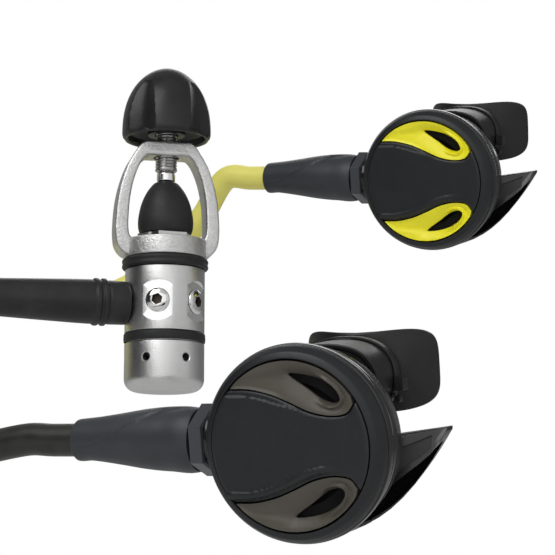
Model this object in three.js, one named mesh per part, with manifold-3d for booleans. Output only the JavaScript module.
// A yoke regulator set: a piston first stage, a primary second stage on a black hose and an
// octopus second stage on a yellow hose. Millimetres, +Z up, origin at the centre of the first
// stage's flat bottom face, with the front of the set towards -Y.
import * as THREE from 'three';
import { mergeVertices } from 'three/addons/utils/BufferGeometryUtils.js';
import Module from 'manifold-3d';

const wasm = await Module();
wasm.setup();

// ---------- driving dimensions ----------
const SEG = 20; // facets round a body
const FINE = 12; // facets round a small piece
const GAP = 0.3; // clearance between neighbouring pieces
const HALF_PI = Math.PI / 2;

const BODY_R = 19.8; // first stage barrel
const CAP_TOP = 23.4; // piston cap height
const BAND_H = 5; // rubber band that covers the cap's joint
const BODY_TOP = 60.4;
const RING_H = 5.5; // rubber bumper under the yoke
const YOKE_BASE = 66.2;
const YOKE_RING_TOP = 75.4;
const YOKE_TOP = 125.4;
const YOKE_DEPTH = 15;
const YOKE_YAW = 12.6; // degrees, the yoke's front turned towards +X
const WINDOW_TOP = 117.9;
const RETAINER_TOP = 78.7;
const PORT_Z = 43.2;
const PORT_FACE = 18.44; // distance of each spot face from the axis
const PORT_R = 4.6;
const PORT_STEP = 65; // degrees between neighbouring ports
const PORTS = [-72, -7, 58, 123, 188]; // degrees from -Y towards +X, PORT_STEP apart
const HOLE_Z = 15.4; // water holes in the piston cap
const HOLE_TURN = 36.5; // degrees, the first water hole
const KNOB_R = 22.3;
const KNOB_BASE = 127.4;
const KNOB_TOP = 164.4;
const SCREW_R = 5.7;
const PISTON_BORE = 15.8;
const HOSE_R = 6.35; // half-inch low-pressure hose
const BOOT_LENGTH = 95; // hose protector at the first stage
const NUT_FAR = 44.5; // outer end of the second stage's hex collar, from the case centre
const SLEEVE_FAR = 98; // outer end of the second stage's hose sleeve
const COVER_R = 36; // second stage front cover
const PANEL_R = 30.6; // front panel inside the cover ring
const FRONT = -18; // cover's front edge, from the swivel axis
const NECK_Z = 19.5; // mouthpiece neck above the swivel axis
const TEE_HALF = 42; // half width of the exhaust tee

// Where each second stage hangs: its swivel centre and its yaw, pitch and roll in degrees.
const PRIMARY = { at: [68.2, -236.7, -42.7], yaw: -26.5, pitch: 11.5, roll: 2 };
const OCTOPUS = { at: [138.3, 20.2, 112.5], yaw: -29, pitch: 16.7, roll: 6.2 };

// Points that each hose passes between its boot and its sleeve.
const PRIMARY_ROUTE = [
  [-150, -48, 40], [-212, -74, 16], [-250, -120, -34], [-240, -168, -90],
  [-198, -186, -116], [-150, -166, -96], [-105, -158, -56],
];
const OCTOPUS_ROUTE = [
  [-19, 133, 47], [-27, 155, 60], [-45, 174, 72], [-82, 187, 76], [-130, 190, 74],
  [-185, 184, 62], [-236, 160, 38], [-262, 122, 14], [-244, 88, 10], [-200, 76, 30],
  [-150, 78, 50], [-100, 86, 58], [-60, 94, 60], [-30, 97, 67], [-6, 95, 84], [14, 87, 105],
];

// ---------- materials ----------
const paint = (color, roughness, metalness) =>
  new THREE.MeshStandardMaterial({ color, roughness, metalness });
const SATIN = paint(0xb9b8b6, 0.35, 1.0);
const CHROME = paint(0xd8d8d8, 0.12, 1.0);
const STEEL = paint(0xa8a8a8, 0.3, 1.0);
const BRONZE = paint(0x9a7650, 0.6, 1.0);
const RUBBER = paint(0x1b1c1e, 0.7, 0.0);
const MATT_BLACK = paint(0x2b2d30, 0.5, 0.0);
const GLOSS_BLACK = paint(0x101112, 0.2, 0.0);
const SLEEVE_GREY = paint(0x3a3d41, 0.6, 0.0);
const TAUPE = paint(0x5a564b, 0.5, 0.0);
const YELLOW = paint(0xd6d217, 0.45, 0.0);
const HOSE_YELLOW = paint(0xf0dc5a, 0.5, 0.0);
const SILICONE = paint(0xc9ccd0, 0.6, 0.0);

// ---------- solid helpers ----------
const rad = (deg) => (deg * Math.PI) / 180;

// A closed geometry as a manifold solid, turned the right way out.
function solid(geometry) {
  const g = geometry.clone();
  g.deleteAttribute('normal');
  g.deleteAttribute('uv');
  const m = mergeVertices(g, 1e-4);
  const p = m.attributes.position.array;
  const t = new Uint32Array(m.index.array);
  let volume = 0;
  for (let i = 0; i < t.length; i += 3) {
    const [a, b, c] = [t[i] * 3, t[i + 1] * 3, t[i + 2] * 3];
    volume += p[a] * (p[b + 1] * p[c + 2] - p[b + 2] * p[c + 1])
      + p[a + 1] * (p[b + 2] * p[c] - p[b] * p[c + 2])
      + p[a + 2] * (p[b] * p[c + 1] - p[b + 1] * p[c]);
  }
  if (volume < 0) {
    for (let i = 0; i < t.length; i += 3) [t[i], t[i + 1]] = [t[i + 1], t[i]];
  }
  return new wasm.Manifold(new wasm.Mesh({ numProp: 3, vertProperties: p, triVerts: t }));
}

// A manifold solid back as a three.js geometry.
function geometryOf(made) {
  const m = made.getMesh();
  const g = new THREE.BufferGeometry();
  g.setAttribute('position', new THREE.BufferAttribute(m.vertProperties, 3));
  g.setIndex(new THREE.BufferAttribute(m.triVerts, 1));
  return g;
}

// A profile of [radius, height] points turned about Z.
function turned(profile, segments = SEG) {
  const points = profile.map(([r, z]) => new THREE.Vector2(r, z));
  return solid(new THREE.LatheGeometry(points, segments).rotateX(HALF_PI));
}

// A closed [radius, height] loop turned about Z, such as a ring or band.
const ringOf = (loop, segments = SEG) => turned([...loop, loop[0]], segments);

// The plain tube between two radii and two heights.
const tube = (inner, outer, low, high, segments = SEG) =>
  ringOf([[inner, low], [outer, low], [outer, high], [inner, high]], segments);

const rod = (r, low, high, segments = SEG) =>
  turned([[0, low], [r, low], [r, high], [0, high]], segments);

const move = (made, x, y, z) => made.translate([x, y, z]);

// A solid that was made along Z, laid along +X or along +Y.
const alongX = (made) => made.rotate([0, 90, 0]);
const alongY = (made) => made.rotate([-90, 0, 0]);

// A flat outline of [x, z] points as a plate between two y values.
function plate(outline, yFront, yBack, holes = []) {
  const toShape = (Kind, points) => {
    const s = new Kind();
    points.forEach(([x, z], i) => (i ? s.lineTo(x, z) : s.moveTo(x, z)));
    s.closePath();
    return s;
  };
  const shape = toShape(THREE.Shape, outline);
  shape.holes = holes.map((h) => toShape(THREE.Path, h));
  const g = new THREE.ExtrudeGeometry(shape, { depth: yBack - yFront, bevelEnabled: false });
  return solid(g.rotateX(HALF_PI).translate(0, yBack, 0));
}

// Stacked rings of points as one closed skin with flat ends.
function loft(rings) {
  const n = rings[0].length;
  const centre = (ring) =>
    ring.reduce((s, p) => s.add(new THREE.Vector3(...p)), new THREE.Vector3()).divideScalar(n);
  const points = [...rings.flat(), centre(rings[0]).toArray(), centre(rings.at(-1)).toArray()];
  const faces = [];
  rings.slice(1).forEach((_, k) => {
    for (let i = 0; i < n; i++) {
      const [a, b] = [k * n + i, k * n + ((i + 1) % n)];
      faces.push(a, b, b + n, a, b + n, a + n);
    }
  });
  const [first, last] = [rings.length * n, rings.length * n + 1];
  const top = (rings.length - 1) * n;
  for (let i = 0; i < n; i++) {
    const j = (i + 1) % n;
    faces.push(first, j, i, last, top + i, top + j);
  }
  const g = new THREE.BufferGeometry();
  g.setAttribute('position', new THREE.Float32BufferAttribute(points.flat(), 3));
  g.setIndex(faces);
  return solid(g);
}

// A rounded-rectangle ring of half sizes a (x) and b (z) about cz, with y given for each point.
function ovalRing(a, b, cz, yAt, power = 2.6, count = 16) {
  return Array.from({ length: count }, (_, i) => {
    const t = (i / count) * 2 * Math.PI;
    const [c, s] = [Math.cos(t), Math.sin(t)];
    const x = a * Math.sign(c) * Math.abs(c) ** (2 / power);
    const z = cz + b * Math.sign(s) * Math.abs(s) ** (2 / power);
    return [x, yAt(x, z), z];
  });
}

// A helical spring along Z, cut square at both ends.
function spring(radius, wire, low, high, turns, perTurn, sides) {
  class Helix extends THREE.Curve {
    getPoint(t, target = new THREE.Vector3()) {
      const a = t * turns * 2 * Math.PI;
      return target.set(radius * Math.cos(a), radius * Math.sin(a), low + (high - low) * t);
    }
  }
  return solid(sweep(new Helix(), wire, Math.round(turns * perTurn), sides));
}

// A round section swept along a curve.
function sweep(curve, radius, steps, sides) {
  const section = new THREE.Shape(
    Array.from({ length: sides }, (_, i) => {
      const a = (i / sides) * 2 * Math.PI;
      return new THREE.Vector2(radius * Math.cos(a), radius * Math.sin(a));
    }),
  );
  return new THREE.ExtrudeGeometry(section, { steps, bevelEnabled: false, extrudePath: curve });
}

const all = new THREE.Group();

// Adds a solid to a group as a named mesh.
function add(group, name, made, material) {
  const mesh = new THREE.Mesh(geometryOf(made), material);
  mesh.name = name;
  group.add(mesh);
}

// The frame of a first stage port: local +Z points out of the port.
function portPlace(deg) {
  const a = rad(deg);
  const out = new THREE.Vector3(Math.sin(a), -Math.cos(a), 0);
  const q = new THREE.Quaternion().setFromUnitVectors(new THREE.Vector3(0, 0, 1), out);
  return new THREE.Matrix4().compose(new THREE.Vector3(0, 0, PORT_Z), q, new THREE.Vector3(1, 1, 1));
}

const placed = (made, matrix) => made.transform(matrix.elements);

// ---------- first stage ----------
function pistonCap() {
  let cap = turned([
    [0, 0], [14, 0], [17.6, 1], [19.2, 3], [BODY_R, 6], [BODY_R, CAP_TOP],
    [PISTON_BORE, CAP_TOP], [PISTON_BORE, 4], [0, 4],
  ]);
  for (let k = 0; k < 6; k++) {
    const hole = rod(2, 10, 25, 8).rotate([90, 0, 0]);
    cap = cap.subtract(move(hole, 0, 0, HOLE_Z).rotate([0, 0, HOLE_TURN + 60 * k]));
  }
  return cap;
}

function firstStageBody() {
  const seat = CAP_TOP + GAP;
  let body = turned([
    [12.5, 19.4], [15.2, 19.4], [15.2, seat], [18.6, seat], [18.6, seat + BAND_H],
    [BODY_R, seat + BAND_H], [BODY_R, BODY_TOP], [16.7, BODY_TOP], [16.7, YOKE_BASE - GAP],
    [9.4, YOKE_BASE - GAP], [9.4, 55.4], [6, 55.4], [6, 40.4], [3.4, 40.4], [3.4, 30.4],
    [12.5, 30.4], [12.5, 19.4],
  ]);
  for (const deg of PORTS) {
    const cut = rod(10.5, PORT_FACE, 30, 16)
      .add(rod(PORT_R, 10, 30, FINE))
      .add(rod(1.8, 4, 12, 8));
    body = body.subtract(placed(cut, portPlace(deg)));
  }
  return body;
}

// The yoke's outline as half widths, from its base up.
const YOKE_OUTER = [
  [17, YOKE_BASE], [21.4, 67.6], [25, 72.4], [26, 80], [25.6, 90], [24.2, 100],
  [21.6, 110], [17.4, 118.7], [13.2, 124.4], [11.5, YOKE_TOP],
];
const YOKE_INNER = [
  [17.6, YOKE_RING_TOP], [19.3, 78.4], [19.5, 86.4], [18.8, 96.4], [17, 106.4], [13.8, 115.4],
  [11.8, WINDOW_TOP],
];
const mirrored = (half) => [...half, ...half.map(([x, z]) => [-x, z]).reverse()];

function yoke() {
  const frame = plate(mirrored(YOKE_OUTER), -YOKE_DEPTH / 2, YOKE_DEPTH / 2, [
    mirrored(YOKE_INNER),
  ]);
  return frame
    .add(tube(5, 20.6, YOKE_BASE, YOKE_RING_TOP))
    .subtract(rod(9.4, YOKE_BASE - 5, YOKE_RING_TOP + 0.1))
    .subtract(rod(SCREW_R + 0.9, WINDOW_TOP - 1, YOKE_TOP + 1));
}

function retainer() {
  const across = 14.4;
  const hex = rod(across, YOKE_RING_TOP + GAP, RETAINER_TOP, 6);
  return hex
    .add(rod(8.5, RETAINER_TOP - 1, RETAINER_TOP + 2, FINE))
    .add(rod(9, 59, YOKE_RING_TOP + 1))
    .add(rod(2.2, 56.4, 60, 8))
    .subtract(turned([[0, 59.5], [2, 59.5], [2, 68.4], [5.4, 71.4], [5.4, 90], [0, 90]], FINE))
    .subtract(rod(1.2, 55, 65, 8));
}

function knob() {
  const z = (share) => KNOB_BASE + (KNOB_TOP - KNOB_BASE) * share;
  const dome = [0, 0.04, 0.22, 0.42, 0.6, 0.76, 0.88, 0.965].map((s) => [
    KNOB_R * (s < 0.05 ? 0.97 + 0.75 * s : (1 - s ** 2.5) ** 0.6), z(s),
  ]);
  let made = turned([
    [SCREW_R + GAP, z(0.06)], [9.5, z(0.06)], [9.5, z(0.3)], [19.5, z(0.12)], [20.2, z(0)],
    ...dome, [0, z(1)], [0, z(0.72)], [SCREW_R + GAP, z(0.72)], [SCREW_R + GAP, z(0.06)],
  ]);
  for (let k = 0; k < 4; k++) {
    const scoop = rod(11, -30, 26, FINE).rotate([0, 13, 0]);
    made = made.subtract(move(scoop, KNOB_R + 8.6, 0, KNOB_BASE).rotate([0, 0, 45 + 90 * k]));
  }
  return made;
}

function dustCap() {
  const low = RETAINER_TOP + GAP;
  return turned([
    [9.3, low], [13.2, low], [13.8, 82.4], [13.5, 87.4], [12.2, 93.4], [9.8, 98.9], [6.9, 103.4],
    [4.6, 105.6], [0, 105.6], [0, 88.4], [7, 87.4], [9.3, 84.4], [9.3, low],
  ]);
}

function piston() {
  return turned([
    [0, 6], [15.2, 6], [15.2, 7.2], [14.2, 7.2], [14.2, 9.2], [15.2, 9.2], [15.2, 11],
    [8, 11], [3, 13], [3, 52.4], [0, 52.4],
  ]);
}

// A hexagon-socket port plug; local +Z points out.
function plug(headRadius, headHeight) {
  return turned([
    [0, 12], [3.6, 12], [4.2, 13], [4.2, PORT_FACE + GAP], [headRadius, PORT_FACE + GAP],
    [headRadius, PORT_FACE + headHeight - 0.8], [headRadius - 0.9, PORT_FACE + headHeight],
    [0, PORT_FACE + headHeight],
  ], FINE).subtract(rod(2.6, PORT_FACE - 2, 30, 6));
}

// The rubber hose protector that covers a hose's fitting at the first stage.
function hoseBoot() {
  const at = PORT_FACE + 0.6;
  return ringOf([
    [10.2, at], [10.8, at + 1.5], [10.9, at + 11], [11.8, at + 12.5], [11.2, at + 14.5],
    [11.8, at + 16.5], [11, at + 18], [9.7, at + 50], [8.6, at + 85], [7.9, PORT_FACE + BOOT_LENGTH],
    [HOSE_R + 0.4, PORT_FACE + BOOT_LENGTH], [HOSE_R + 0.4, at + 40], [8, at + 36], [8, at],
  ], FINE);
}

function portFitting() {
  const at = PORT_FACE + GAP;
  return turned([[0, 12], [4.1, 12], [4.1, at], [7.2, at], [7.2, at + 8], [6, at + 9],
    [6, at + 34], [0, at + 34]], FINE).subtract(rod(2, 11, at + 36, 8));
}

function buildFirstStage() {
  const g = new THREE.Group();
  all.add(g);
  const seat = CAP_TOP + GAP;
  add(g, 'first_stage_body', firstStageBody(), SATIN);
  add(g, 'piston_cap', pistonCap(), SATIN);
  add(g, 'cap_joint_band', ringOf([
    [18.9, seat + GAP], [20.1, seat + GAP], [20.3, seat + 2.5], [20.1, seat + BAND_H - GAP],
    [18.9, seat + BAND_H - GAP],
  ]), RUBBER);
  add(g, 'yoke_bumper_ring', ringOf([
    [17, BODY_TOP + GAP], [20.8, BODY_TOP + GAP], [21.6, BODY_TOP + 1.4],
    [21.6, BODY_TOP + RING_H - 1.4], [20.8, BODY_TOP + RING_H], [17, BODY_TOP + RING_H],
  ]), RUBBER);
  add(g, 'yoke_retainer', retainer(), CHROME);
  add(g, 'inlet_filter', turned([[0, 71.8], [1.6, 71.8], [5, 74.6], [5, 78.5], [0, 79.4]], FINE), BRONZE);
  add(g, 'dust_cap', dustCap(), RUBBER);
  add(g, 'piston', piston(), STEEL);
  add(g, 'piston_head_oring', tube(14.4, 15.5, 7.5, 8.9), RUBBER);
  add(g, 'high_pressure_seat', rod(2.7, 52.7, 55.1, FINE), SILICONE);
  add(g, 'piston_spring', spring(9.9, 1.1, 13.6, 29, 3.5, 10, 5), STEEL);
  const turnedYoke = new THREE.Group();
  turnedYoke.rotation.z = rad(YOKE_YAW);
  g.add(turnedYoke);
  add(turnedYoke, 'yoke', yoke(), SATIN);
  add(turnedYoke, 'yoke_knob', knob(), MATT_BLACK);
  add(turnedYoke, 'yoke_screw', turned([
    [0, 110.4], [4.6, 110.4], [SCREW_R, 111.5], [SCREW_R, 152], [0, 152],
  ]), STEEL);
  add(turnedYoke, 'screw_tip_pad', rod(4.2, 105.9, 110.1, FINE), CHROME);
  add(g, 'front_port_plug', placed(plug(6, 3), portPlace(PORTS[1])), CHROME);
  add(g, 'side_port_plug', placed(plug(6, 2), portPlace(PORTS[2])), CHROME);
  add(g, 'rear_port_plug', placed(plug(6, 2), portPlace(PORTS[3])), CHROME);
  add(g, 'primary_port_fitting', placed(portFitting(), portPlace(PORTS[0])), CHROME);
  add(g, 'octopus_port_fitting', placed(portFitting(), portPlace(PORTS[4])), CHROME);
  add(g, 'primary_hose_boot', placed(hoseBoot(), portPlace(PORTS[0])), RUBBER);
  add(g, 'octopus_hose_boot', placed(hoseBoot(), portPlace(PORTS[4])), RUBBER);
}

// ---------- second stage; x to the right, y to the back, origin on the swivel axis ----------
const CASE_WALL = 2;

// The case's outside as [radius, y] points from the rim to the back.
const CASE_OUT = [[34.6, -6], [34.6, -2], [32.4, 6.5], [27, 15], [19, 20.5], [9, 22.5]];

function caseShell() {
  const outside = turned([[0, -6], ...CASE_OUT, [0, 23]], SEG);
  const inside = turned([
    [0, -7.5], ...CASE_OUT.map(([r, y]) => [r - CASE_WALL, y - 0.75 * CASE_WALL]), [0, 21],
  ], SEG);
  const neck = (a, b, y0, y1) =>
    loft([y0, y1].map((y) => ovalRing(a, b, NECK_Z, () => y, 2.4, 16)));
  return alongY(outside)
    .add(neck(17.5, 12.2, 4, 40))
    .add(alongX(rod(11.5, -38, -26)))
    .subtract(alongY(rod(COVER_R + 0.8, -20, -6.3)))
    .subtract(alongY(inside))
    .add(exhaustPlace(rod(12.8, 5, 10, FINE)))
    .subtract(neck(15, 9.8, 2, 41))
    .subtract(alongX(rod(5.6, -40, -24)))
    .subtract(exhaustPlace(rod(9, -8, 20, FINE)))
    .subtract(exhaustPlace(rod(12.4, 10, 20, FINE)));
}

// The exhaust valve's frame: local +Z points down and back, out of the case.
const EXHAUST_TILT = 38; // degrees below straight back
const exhaustPlace = (made) => made.rotate([-90 - EXHAUST_TILT, 0, 0]).translate([0, 8, -14]);

function coverRing() {
  const rim = ringOf([
    [PANEL_R + 0.4, FRONT + 0.2], [33.6, FRONT + 0.8], [35.4, FRONT + 3.8], [COVER_R, -9.5],
    [35.5, -6.6], [31.4, -6.6], [31.4, -12], [22, -12], [22, -14],
    [PANEL_R + 0.4, -14],
  ]);
  return alongY(rim);
}

// The S-shaped edge between the pressed panel and an insert, from left to right, as [x, z].
const S_EDGE = [
  [-23, 20], [-15, 19.8], [-6.6, 18], [0.8, 15.1], [9.3, 11.5], [17.6, 10.2], [23.4, 11.2],
  [26.3, 14.8], [26.6, 15.1],
];
// The teardrop insert: its lower edge, then back along the round cover, and its vent.
const INSERT_EDGE = [
  [-22, 20.6], [-15, 20.4], [-6.5, 18.6], [1, 15.7], [9.5, 12.1], [17.6, 10.8], [23, 11.8],
  [25.4, 14.8],
];
const VENT = [
  [0, 25.4], [7.5, 24.9], [14, 22.6], [18.4, 19.3], [19.7, 16.2], [17.8, 15], [13.3, 15.9],
  [7.4, 19.9],
];
const arcPoints = (r, from, to, count) =>
  Array.from({ length: count }, (_, i) => {
    const a = rad(from + ((to - from) * i) / (count - 1));
    return [r * Math.cos(a), r * Math.sin(a)];
  });
const angleOf = ([x, z]) => (Math.atan2(z, x) * 180) / Math.PI;

function purgePanel() {
  const right = S_EDGE.at(-1);
  const edge = angleOf(S_EDGE[0]);
  const low = S_EDGE.map(([x, z]) => [x, -z]).reverse();
  const outline = [
    ...S_EDGE, ...arcPoints(PANEL_R, angleOf(right) - 2, -angleOf(right) + 2, 4),
    ...low, ...arcPoints(PANEL_R, 360 - edge - 4, edge + 4, 8),
  ];
  return plate(outline, FRONT - 1.4, FRONT + 1)
    .add(alongY(rod(9, FRONT + 0.5, -11.5)));
}

function insert(side) {
  const rimStart = angleOf(INSERT_EDGE.at(-1)) + 4;
  const outline = [...INSERT_EDGE, ...arcPoints(PANEL_R - 0.4, rimStart + 5, 131, 9)];
  const flip = (points) => points.map(([x, z]) => [x, side * z]);
  return plate(flip(outline), FRONT, FRONT + 3, [flip(VENT)]);
}

// One cross-section of the exhaust tee at a share of its half width, inset by the wall.
function teeSection(share, inset) {
  const s = Math.abs(share);
  const top = -4 + 5 * s - inset;
  const low = -36 + 35.6 * s ** 2.2 + inset * (1 - s);
  const back = 30 + 3 * s - inset;
  const front = 10 + 17.6 * s + inset;
  const toe = -3.5 + 29.5 * s ** 1.2 + inset;
  const middle = (top + low) / 2;
  return [
    [front, top], [back, top], [back, middle], [back - 9 * (1 - s), low * 0.8 + middle * 0.2],
    [(toe + back) / 2, low], [toe, low], [front - 2 * (1 - s), middle],
  ].map(([y, z]) => [share * TEE_HALF, y, z]);
}

function exhaustTee() {
  const shares = [0.25, 0.5, 0.7, 0.86];
  const across = (list) => [...list.map((s) => -s).reverse(), ...list];
  const outer = loft(across([...shares, 1]).map((s) => teeSection(s, 0)));
  const inner = loft(across([...shares, 0.94]).map((s) => teeSection(s, 1.6)));
  // Each outlet is cut down through the lower edge.
  const outlet = (side) => loft([0.34, 0.5, 0.7, 0.86, 0.95].map((s) => {
    const [front, back, , , , toe, face] = teeSection(s * side, 2.2);
    const [x, low] = [front[0], toe[2]];
    return [
      [x, toe[1] + 0.5, low - 9], [x, back[1] - 0.2, low - 9], [x, back[1] - 0.2, face[2]],
      [x, face[1] + 0.5, face[2]], [x, toe[1] + 0.5, low],
    ];
  }));
  const clear = alongY(turned([
    [0, -10], ...CASE_OUT.map(([r, y]) => [r + 0.5, y + 0.5]), [0, 23.5],
  ]));
  return outer.subtract(inner).subtract(outlet(-1)).subtract(outlet(1)).subtract(clear);
}

function mouthpiece() {
  const tubeRing = (a, b, y) => ovalRing(a, b, NECK_Z, () => y, 2.4);
  const sweptBack = (y) => (x) => y + 14 * (Math.abs(x) / 26) ** 2;
  const outer = loft([tubeRing(19.6, 14.2, 29), tubeRing(19.6, 14.2, 40), tubeRing(17.5, 12, 46)]);
  const bore = loft([tubeRing(17.8, 12.5, 28), tubeRing(17.8, 12.5, 40.3), tubeRing(14.5, 9, 43),
    tubeRing(13, 8, 62)]);
  const flange = loft([43, 45.5].map((y) => ovalRing(28, 16, NECK_Z + 1, sweptBack(y), 4, 16)));
  const spout = loft([tubeRing(15.5, 10.5, 43), tubeRing(14.8, 10, 54)]);
  let made = outer.add(flange).add(spout);
  for (const side of [-1, 1]) {
    const tab = loft([
      [[13, 50, NECK_Z - 2.5], [13, 50, NECK_Z + 2.5], [16, 47, NECK_Z + 2.5], [16, 47, NECK_Z - 2.5]],
      [[18, 66, NECK_Z - 4.5], [18, 66, NECK_Z + 4.5], [23, 66, NECK_Z + 4.5], [23, 66, NECK_Z - 4.5]],
    ].map((ring) => ring.map(([x, y, z]) => [side * x, y, z])));
    made = made.add(tab);
  }
  return made.subtract(bore);
}

function mouthpieceClamp() {
  const ring = (a, b, y) => ovalRing(a, b, NECK_Z, () => y, 2.4);
  const band = loft([ring(21, 15.6, 33), ring(21, 15.6, 37)])
    .subtract(loft([ring(19.9, 14.5, 32), ring(19.9, 14.5, 38)]));
  const head = move(solid(new THREE.BoxGeometry(3.4, 5.4, 5)), 21.8, 35, NECK_Z - 3);
  return band.add(head.subtract(loft([ring(19.9, 14.5, 30), ring(19.9, 14.5, 40)])));
}

function barrel() {
  const outer = alongX(turned([
    [0, -37], [5.2, -37], [5.2, -26], [4.8, -25], [4.8, 10.6], [0, 10.6],
  ], FINE));
  const bore = alongX(turned([[0, -38], [3.4, -38], [3.4, 9], [1.9, 9], [1.9, 13], [0, 13]], FINE));
  const outlet = alongY(rod(2.2, -1, 8, 8));
  return outer.subtract(bore).subtract(move(outlet, -8, 0, 0));
}

function lever() {
  const side = [[-2.5, -9.9], [12.4, -6.2], [13.6, -6.2], [13.6, 2.2], [12.4, 2.2], [12.4, -5.2],
    [-2.5, -8.9]];
  const bent = plate(side, -2.4, 2.4).rotate([-90, 0, 0]);
  return bent.subtract(alongX(rod(1.6, 5, 20, 8)));
}

function poppet() {
  return alongX(turned([[0, -22], [2.9, -22], [2.9, -19], [1.3, -18.5], [1.3, 16], [0, 16]], 12));
}

function hoseSleeve() {
  const stations = [
    [7.8, -SLEEVE_FAR], [8.2, -SLEEVE_FAR + 1.2], [9, -88], [10.3, -78], [11.7, -68], [12.5, -58],
    [12.4, -50], [11.9, -NUT_FAR - 0.6],
  ];
  const outer = alongX(turned([[0, -SLEEVE_FAR], ...stations, [0, -NUT_FAR - 0.6]], 14));
  const bore = alongX(turned([
    [0, -99], [HOSE_R + 0.8, -99], [HOSE_R + 0.5, -90], [HOSE_R + 0.4, -74], [7.6, -72],
    [7.6, -43], [0, -43],
  ], 10));
  return outer.subtract(bore);
}

function buildSecondStage(prefix, pose, colours) {
  const g = new THREE.Group();
  g.position.set(...pose.at);
  g.rotation.set(rad(pose.pitch), rad(pose.roll), rad(pose.yaw), 'ZXY');
  all.add(g);
  const name = (part) => `${prefix}_${part}`;
  const nut = alongX(rod(13.6, -NUT_FAR, -38.3, 6)).rotate([32, 0, 0]);
  add(g, name('cover_ring'), coverRing(), MATT_BLACK);
  add(g, name('purge_cover'), purgePanel(), MATT_BLACK);
  add(g, name('upper_insert'), insert(1), colours.insert);
  add(g, name('lower_insert'), insert(-1), colours.insert);
  add(g, name('diaphragm'), alongY(turned([
    [0, -11.2], [15, -11.2], [28.5, -11.5], [28.5, -10.7], [15, -10.2], [0, -10.2],
  ], 16)), SILICONE);
  add(g, name('case'), caseShell(), GLOSS_BLACK);
  add(g, name('exhaust_valve'), exhaustPlace(
    turned([[0, 10.3], [11.5, 10.3], [11.5, 11], [0, 11.8]], FINE)), SILICONE);
  add(g, name('exhaust_tee'), exhaustTee(), GLOSS_BLACK);
  add(g, name('mouthpiece'), mouthpiece(), RUBBER);
  add(g, name('mouthpiece_clamp'), mouthpieceClamp(), GLOSS_BLACK);
  add(g, name('valve_barrel'), barrel(), CHROME);
  add(g, name('orifice'), alongX(tube(1.4, 3, -29, -22.6, 12)), CHROME);
  add(g, name('demand_lever'), lever(), STEEL);
  add(g, name('poppet'), poppet(), STEEL);
  add(g, name('poppet_spring'), alongX(spring(2.3, 0.4, -16.4, 8, 3, 7, 4)), STEEL);
  add(g, name('inlet_nut'), nut.subtract(alongX(rod(8, -50, -30, FINE))), SLEEVE_GREY);
  add(g, name('swivel_stem'), alongX(tube(2, 4.8, -70, -38.3, 12)), CHROME);
  add(g, name('hose_sleeve'), hoseSleeve(), SLEEVE_GREY);
  g.updateMatrixWorld(true);
  return g;
}

// The hose from a port's boot to a second stage's sleeve.
function buildHose(nodeName, port, route, stage, material) {
  const fromPort = (distance) => new THREE.Vector3(0, 0, distance).applyMatrix4(portPlace(port));
  const fromCase = (x) => new THREE.Vector3(x, 0, 0).applyMatrix4(stage.matrixWorld);
  const mouth = PORT_FACE + BOOT_LENGTH;
  const curve = new THREE.CatmullRomCurve3([
    ...[-18, 3, 20].map((d) => fromPort(mouth + d)),
    ...route.map((p) => new THREE.Vector3(...p)),
    ...[-26, -12, 2, 12, 22].map((d) => fromCase(d - SLEEVE_FAR)),
  ], false, 'centripetal');
  add(all, nodeName, solid(sweep(curve, HOSE_R, 40, 7)), material);
}

buildFirstStage();
const primary = buildSecondStage('primary', PRIMARY, { insert: TAUPE });
const octopus = buildSecondStage('octopus', OCTOPUS, { insert: YELLOW });
buildHose('primary_hose', PORTS[0], PRIMARY_ROUTE, primary, RUBBER);
buildHose('octopus_hose', PORTS[4], OCTOPUS_ROUTE, octopus, HOSE_YELLOW);

export default all;
